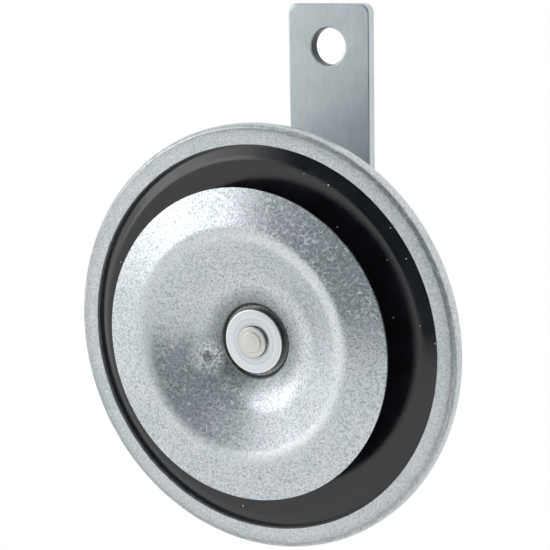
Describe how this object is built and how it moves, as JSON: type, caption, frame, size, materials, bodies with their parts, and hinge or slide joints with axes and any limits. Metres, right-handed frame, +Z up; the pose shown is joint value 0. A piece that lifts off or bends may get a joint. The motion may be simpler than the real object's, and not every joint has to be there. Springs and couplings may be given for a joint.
{
  "type": "car horn",
  "caption": "Electric disc horn with a dished resonator disc, black diaphragm, crimped round rim, drawn shell, blade terminals and a flat hanging bracket.",
  "frame": {"origin": "centre of the bracket's hole, on the rear face of the bracket that lies against the vehicle", "axes": "+Z up along the bracket, -Y the way the horn faces, +X to the right seen from the front"},
  "size_m": [0.0996, 0.0582, 0.1248],
  "materials": {
    "spangled_zinc": "zinc plated sheet with a fine spangle",
    "shell_zinc": "zinc plated, satin",
    "bracket_zinc": "zinc plated, smooth",
    "black_paint": "gloss black",
    "bright_plate": "bright plated",
    "machined_steel": "turned",
    "plain_steel": "plated",
    "copper_wire": "enamelled copper wire",
    "contact_brass": "rolled brass",
    "tinned_brass": "tin plated brass",
    "contact_silver": "silver alloy",
    "bobbin_nylon": "natural moulded nylon",
    "dark_phenolic": "phenolic board",
    "gasket_rubber": "rubberised fibre"
  },
  "bodies": {
    "housing": {"clamp_ring": "spangled_zinc", "diaphragm": "black_paint", "diaphragm_gasket": "gasket_rubber", "housing_cup": "shell_zinc", "pole_plate": "plain_steel", "pole_plate_rivets": "plain_steel", "coil_bobbin": "bobbin_nylon", "coil_winding": "copper_wire", "magnet_core": "machined_steel", "breaker_insulator": "dark_phenolic", "breaker_spacer": "dark_phenolic", "breaker_top_insulator": "dark_phenolic", "breaker_clamp_plate": "plain_steel", "breaker_rivets": "plain_steel", "breaker_sleeves": "dark_phenolic", "contact_spring": "contact_brass", "fixed_contact_arm": "contact_brass", "fixed_contact_point": "contact_silver", "terminal_insulator": "dark_phenolic", "terminal_inner_insulator": "dark_phenolic", "terminal_left": "tinned_brass", "terminal_right": "tinned_brass", "terminal_rivets": "contact_brass", "mounting_bracket": "bracket_zinc", "spring_washer": "bracket_zinc", "mounting_nut": "bracket_zinc", "coil_lead_terminal": "copper_wire", "coil_lead_breaker": "copper_wire", "breaker_lead": "copper_wire"},
    "vibrator": {"armature": "machined_steel", "armature_washer": "machined_steel", "spacer_washer": "machined_steel", "tone_disc": "spangled_zinc", "front_washer": "bright_plate"},
    "contact_tip": {"moving_contact_point": "contact_silver", "contact_pusher": "dark_phenolic"},
    "adjuster": {"adjusting_screw": "plain_steel"}
  },
  "joints": [
    {"name": "diaphragm_stroke", "type": "slide", "parent": "housing", "child": "vibrator", "axis": [0, 1, 0], "range_m": [0, 0.0005], "stiffness_N_per_m": 15000, "deforming": ["diaphragm"]},
    {"name": "contact_opening", "type": "hinge", "parent": "housing", "child": "contact_tip", "pos_m": [-0.0305, -0.03195, -0.0648], "axis": [0, 0, 1], "range_deg": [0, 1.55], "deforming": ["contact_spring"]},
    {"name": "adjuster_turn", "type": "hinge", "parent": "housing", "child": "adjuster", "pos_m": [-0.0348, -0.02, -0.0538], "axis": [0, 1, 0], "range_deg": [-180, 180]}
  ],
  "couplings": [
    {"joint": "contact_opening", "follows": "diaphragm_stroke", "rad_per_m": 53.476}
  ]
}
